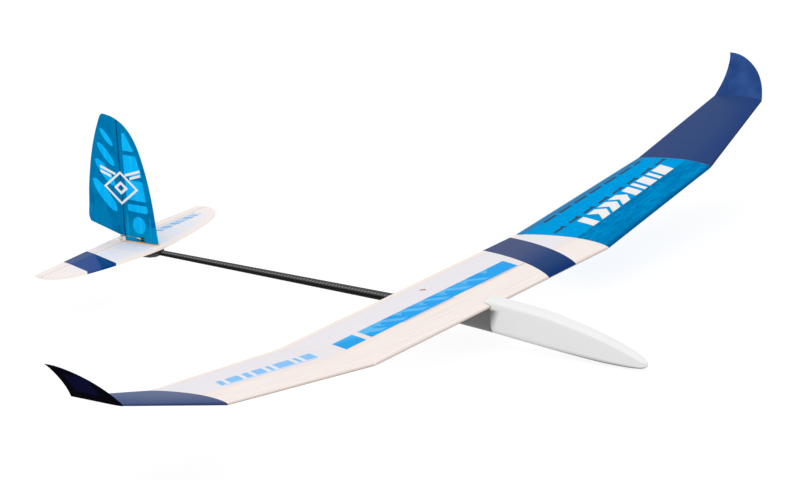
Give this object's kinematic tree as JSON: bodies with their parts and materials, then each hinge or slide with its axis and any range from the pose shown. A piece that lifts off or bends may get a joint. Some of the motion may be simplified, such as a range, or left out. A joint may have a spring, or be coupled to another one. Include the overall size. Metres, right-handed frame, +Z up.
{
  "type": "radio-controlled sailplane",
  "caption": "Two-metre radio-controlled sailplane with built-up polyhedral wing, upswept tips, spoilers, white pod with slip-on nose, carbon boom and film-covered tail.",
  "frame": {"origin": "on the ground line under the middle of the sailplane's span and overall length, at the height of the pod's lowest point", "axes": "+X to the sailplane's left wing tip, +Y from nose to tail, +Z up"},
  "size_m": [1.9994, 1.1276, 0.3065],
  "materials": {
    "sheeting_cream": "satin",
    "balsa": "matte",
    "spruce": "matte",
    "film_white": "satin",
    "film_blue": "gloss",
    "sheeting_blue": "gloss",
    "film_cyan": "gloss",
    "tail_blue": "gloss",
    "sheeting_navy": "gloss",
    "film_navy": "gloss",
    "spoiler_blue": "gloss",
    "carbon": "satin",
    "black_plastic": "satin",
    "pod_white": "satin",
    "plywood": "matte",
    "steel": "satin",
    "brass": "satin",
    "servo_case": "gloss",
    "receiver_case": "matte",
    "battery_wrap": "satin",
    "ballast": "matte",
    "fibreglass": "matte",
    "balsa_orange": "matte",
    "tail_cream": "satin"
  },
  "bodies": {
    "airframe": {"centre_dbox": "sheeting_cream", "mid_dbox_right": "sheeting_cream", "centre_trailing_edge": "sheeting_cream", "mid_trailing_edge": "sheeting_cream", "centre_ribs": "balsa", "mid_ribs": "balsa", "tip_ribs": "balsa", "centre_spar": "spruce", "mid_spar": "spruce", "tip_spar": "spruce", "centre_film": "film_white", "mid_film_right": "film_white", "stab_film": "film_white", "mid_film_left": "film_blue", "mid_dbox_left": "sheeting_blue", "fin_film": "film_cyan", "fin_frame": "tail_blue", "tip_dbox_left": "sheeting_navy", "tip_dbox_right": "sheeting_navy", "tip_trailing_edge": "sheeting_navy", "winglet_left": "sheeting_navy", "winglet_right": "sheeting_navy", "tip_film_left": "film_navy", "tip_film_right": "film_navy", "boom": "carbon", "wing_joiners": "carbon", "tail_fairing": "black_plastic", "pod_shell": "pod_white", "front_former": "plywood", "pod_blocks": "plywood", "equipment_tray": "plywood", "bolt_plate": "plywood", "stab_mount": "plywood", "tow_hook": "steel", "wing_bolt": "steel", "wing_pin": "steel", "servo_screws": "steel", "threaded_insert": "brass", "servos": "servo_case", "spoiler_servos": "servo_case", "receiver": "receiver_case", "battery": "battery_wrap", "nose_weight": "ballast", "fin_base_strip": "balsa_orange", "stab_frame": "tail_cream"},
    "nose_cone": {"nose_cone": "pod_white"},
    "rudder": {"rudder_frame": "tail_blue", "rudder_film": "film_cyan", "rudder_horn": "fibreglass"},
    "elevator": {"elevator_frame": "tail_cream", "elevator_horn": "fibreglass"},
    "spoiler_left": {"spoiler_left": "spoiler_blue"},
    "spoiler_right": {"spoiler_right": "spoiler_blue"},
    "spoiler_arm_left": {"spoiler_arm_left": "black_plastic"},
    "spoiler_arm_right": {"spoiler_arm_right": "black_plastic"},
    "rudder_rod": {"rudder_pushrod": "steel"},
    "elevator_rod": {"elevator_pushrod": "steel"},
    "rudder_servo_arm": {"rudder_servo_arm": "black_plastic"},
    "elevator_servo_arm": {"elevator_servo_arm": "black_plastic"}
  },
  "joints": [
    {"name": "nose_cone_slide", "type": "slide", "parent": "airframe", "child": "nose_cone", "axis": [0, -0.9943, -0.1064], "range_m": [0, 0.29]},
    {"name": "rudder_hinge", "type": "hinge", "parent": "airframe", "child": "rudder", "pos_m": [0, 0.48907, 0.17111], "axis": [0, 0.0214, 0.9998], "range_deg": [-25, 25]},
    {"name": "elevator_hinge", "type": "hinge", "parent": "airframe", "child": "elevator", "pos_m": [0, 0.4902, 0.08011], "axis": [1, 0, 0], "range_deg": [-18, 18]},
    {"name": "spoiler_left_hinge", "type": "hinge", "parent": "airframe", "child": "spoiler_left", "pos_m": [0.099, -0.2075, 0.07966], "axis": [1, 0, 0], "range_deg": [0, 80]},
    {"name": "spoiler_arm_left_pivot", "type": "hinge", "parent": "airframe", "child": "spoiler_arm_left", "pos_m": [0.0532, -0.2044, 0.07371], "axis": [1, 0, 0], "range_deg": [0, 80]},
    {"name": "spoiler_right_hinge", "type": "hinge", "parent": "airframe", "child": "spoiler_right", "pos_m": [-0.099, -0.2075, 0.07966], "axis": [1, 0, 0], "range_deg": [0, 80]},
    {"name": "spoiler_arm_right_pivot", "type": "hinge", "parent": "airframe", "child": "spoiler_arm_right", "pos_m": [-0.0532, -0.2044, 0.07371], "axis": [1, 0, 0], "range_deg": [0, 80]},
    {"name": "rudder_rod_slide", "type": "slide", "parent": "airframe", "child": "rudder_rod", "axis": [0, 0.9994, 0.0337], "range_m": [-0.00381, 0.00381]},
    {"name": "elevator_rod_slide", "type": "slide", "parent": "airframe", "child": "elevator_rod", "axis": [0, 0.9994, 0.0337], "range_m": [-0.00263, 0.00263]},
    {"name": "rudder_servo_pivot", "type": "hinge", "parent": "airframe", "child": "rudder_servo_arm", "pos_m": [0, -0.3173, 0.04611], "axis": [0, 0, 1], "range_deg": [-25, 25]},
    {"name": "elevator_servo_pivot", "type": "hinge", "parent": "airframe", "child": "elevator_servo_arm", "pos_m": [0, -0.3573, 0.04611], "axis": [0, 0, 1], "range_deg": [-18, 18]}
  ],
  "couplings": [
    {"joint": "rudder_rod_slide", "follows": "rudder_hinge", "m_per_rad": -0.0087171},
    {"joint": "rudder_servo_pivot", "follows": "rudder_hinge", "ratio": 1},
    {"joint": "elevator_rod_slide", "follows": "elevator_hinge", "m_per_rad": 0.0083609},
    {"joint": "elevator_servo_pivot", "follows": "elevator_hinge", "ratio": 1},
    {"joint": "spoiler_arm_left_pivot", "follows": "spoiler_left_hinge", "ratio": 1},
    {"joint": "spoiler_arm_right_pivot", "follows": "spoiler_right_hinge", "ratio": 1}
  ]
}
